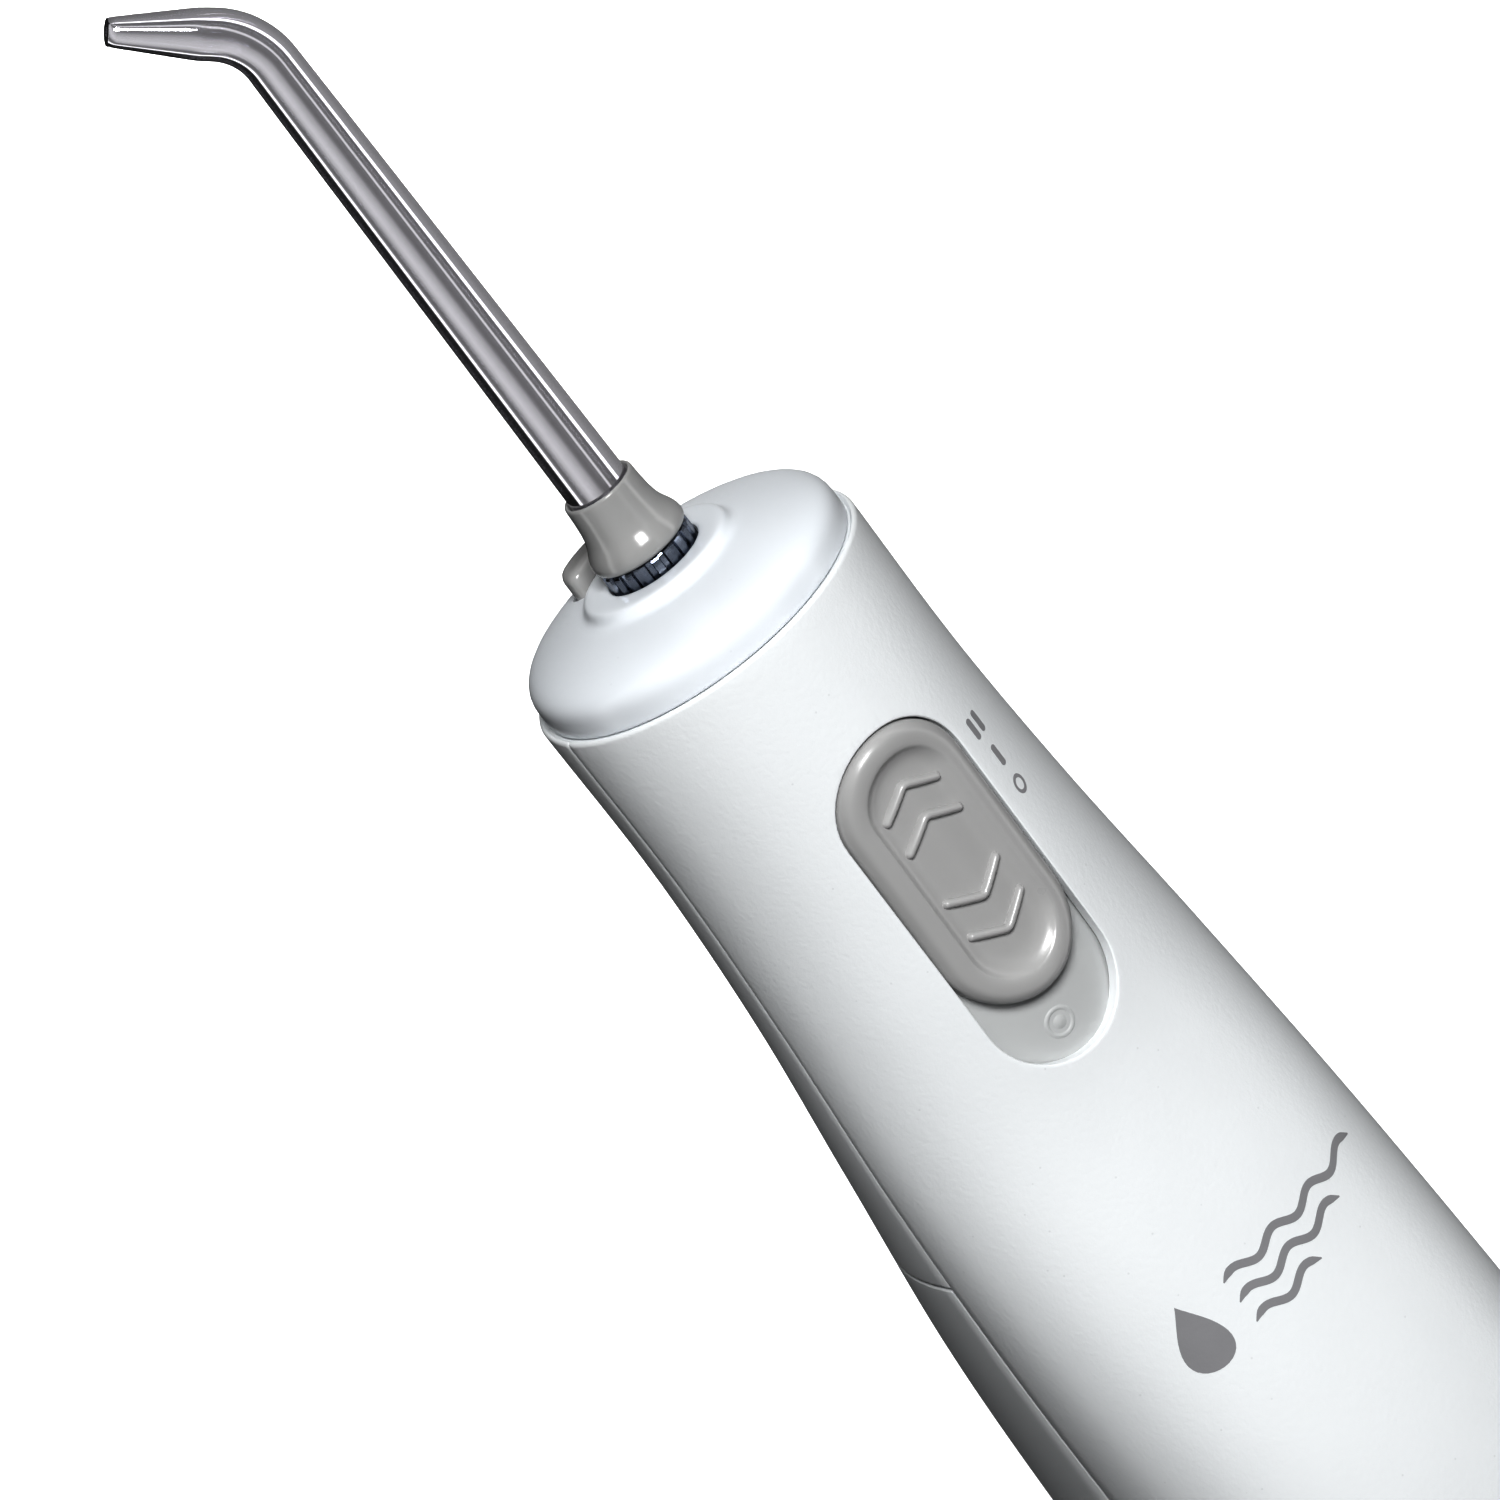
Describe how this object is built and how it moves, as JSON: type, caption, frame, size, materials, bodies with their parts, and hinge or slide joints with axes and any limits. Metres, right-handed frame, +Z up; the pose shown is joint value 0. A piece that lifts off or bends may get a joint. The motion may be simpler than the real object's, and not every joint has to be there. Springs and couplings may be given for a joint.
{
  "type": "water flosser",
  "caption": "Cordless handheld water flosser: tapering white handle, swivelling clear jet tip, slide switch, piston pump, battery bay and slide-off rear reservoir with a fill door.",
  "frame": {"origin": "centre of the flosser's footprint, on the surface that it stands on", "axes": "+Z up along the handle towards the jet tip, -Y the front with the power switch, +Y the back with the reservoir, X to the sides"},
  "size_m": [0.053, 0.0732, 0.298],
  "materials": {
    "white_shell": "satin, fine moulded texture",
    "white_cap": "semi-gloss",
    "white_tank": "satin",
    "grey_trim": "satin",
    "grey_gloss": "gloss",
    "smoke_plastic": "smoked, gloss",
    "clear_tip": "clear moulded plastic",
    "pale_track": "satin",
    "dark_seal": "matt",
    "pale_seal": "silicone, matt",
    "inner_plastic": "matt",
    "grey_cover": "satin",
    "gear_plastic": "acetal, satin",
    "brass_gear": "machined",
    "motor_can": "drawn, plated",
    "steel": "zinc plated",
    "nickel": "nickel plated",
    "cell_wrap": "printed wrap, gloss",
    "board_green": "solder mask",
    "board_black": "matt",
    "soft_tube": "silicone tube",
    "wire_red": "insulated wire"
  },
  "bodies": {
    "handle": {"front_housing": "white_shell", "bulkhead": "inner_plastic", "rear_housing": "white_shell", "housing_screws": "steel", "top_cap": "white_cap", "cap_gasket": "dark_seal", "tip_socket": "inner_plastic", "switch_track": "pale_track", "circuit_board": "board_green", "board_parts": "board_black", "motor": "motor_can", "gear_axle": "steel", "gearbox_frame": "inner_plastic", "gearbox_screws": "steel", "pump_cylinder": "inner_plastic", "outlet_valve": "pale_seal", "inlet_valve": "pale_seal", "delivery_tube": "soft_tube", "motor_wires": "wire_red", "batteries": "cell_wrap", "battery_contacts": "nickel", "battery_tray": "inner_plastic", "battery_cover": "grey_cover", "battery_cover_seal": "dark_seal", "battery_cover_screw": "steel", "reservoir_port_seal": "dark_seal", "eject_spring": "steel"},
    "tip_knob": {"knurled_ring": "smoke_plastic"},
    "tip": {"jet_tip": "clear_tip", "tip_seal": "dark_seal", "tip_collar": "grey_gloss"},
    "eject_button": {"eject_button": "grey_gloss"},
    "tip_latch": {"tip_latch": "inner_plastic"},
    "power_switch": {"slide_switch": "grey_trim", "switch_carriage": "inner_plastic"},
    "motor_shaft": {"motor_pinion": "brass_gear"},
    "crank": {"crank_gear": "gear_plastic"},
    "piston": {"piston": "gear_plastic", "piston_seal": "dark_seal"},
    "release_button": {"release_button": "grey_trim"},
    "reservoir": {"reservoir": "white_tank", "suction_tube": "soft_tube", "intake_filter": "inner_plastic"},
    "fill_door": {"fill_door": "white_tank", "fill_door_seal": "pale_seal"}
  },
  "joints": [
    {"name": "tip_swivel", "type": "hinge", "parent": "handle", "child": "tip_knob", "pos_m": [0, -0.0055, 0.208], "axis": [0, 0, 1], "continuous": true},
    {"name": "tip_pull", "type": "slide", "parent": "tip_knob", "child": "tip", "axis": [0, 0, 1], "range_m": [0, 0.03]},
    {"name": "eject_press", "type": "slide", "parent": "handle", "child": "eject_button", "axis": [0, 0, -1], "range_m": [0, 0.002], "stiffness_N_per_m": 600, "deforming": ["eject_spring"]},
    {"name": "latch_slide", "type": "slide", "parent": "handle", "child": "tip_latch", "axis": [0, -1, 0], "range_m": [0, 0.002]},
    {"name": "power_slide", "type": "slide", "parent": "handle", "child": "power_switch", "axis": [0, -0.0314, 0.9995], "range_m": [-0.009, 0]},
    {"name": "crank_spin", "type": "hinge", "parent": "handle", "child": "crank", "pos_m": [0.0052, -0.0171, 0.0856], "axis": [1, 0, 0], "continuous": true},
    {"name": "motor_spin", "type": "hinge", "parent": "handle", "child": "motor_shaft", "pos_m": [0.0052, -0.0171, 0.074], "axis": [1, 0, 0], "continuous": true},
    {"name": "piston_stroke", "type": "slide", "parent": "handle", "child": "piston", "axis": [0, 0, 1], "range_m": [-0.0035, 0]},
    {"name": "release_press", "type": "slide", "parent": "handle", "child": "release_button", "axis": [0, -1, 0], "range_m": [0, 0.0015], "stiffness_N_per_m": 600},
    {"name": "reservoir_slide", "type": "slide", "parent": "handle", "child": "reservoir", "axis": [0, 1, 0], "range_m": [0, 0.045]},
    {"name": "fill_door_hinge", "type": "hinge", "parent": "reservoir", "child": "fill_door", "pos_m": [0, 0.03023, 0.088], "axis": [1, 0, 0], "range_deg": [-80, 0]}
  ],
  "couplings": [
    {"joint": "crank_spin", "follows": "motor_spin", "ratio": -0.35294},
    {"joint": "latch_slide", "follows": "eject_press", "ratio": 1}
  ]
}
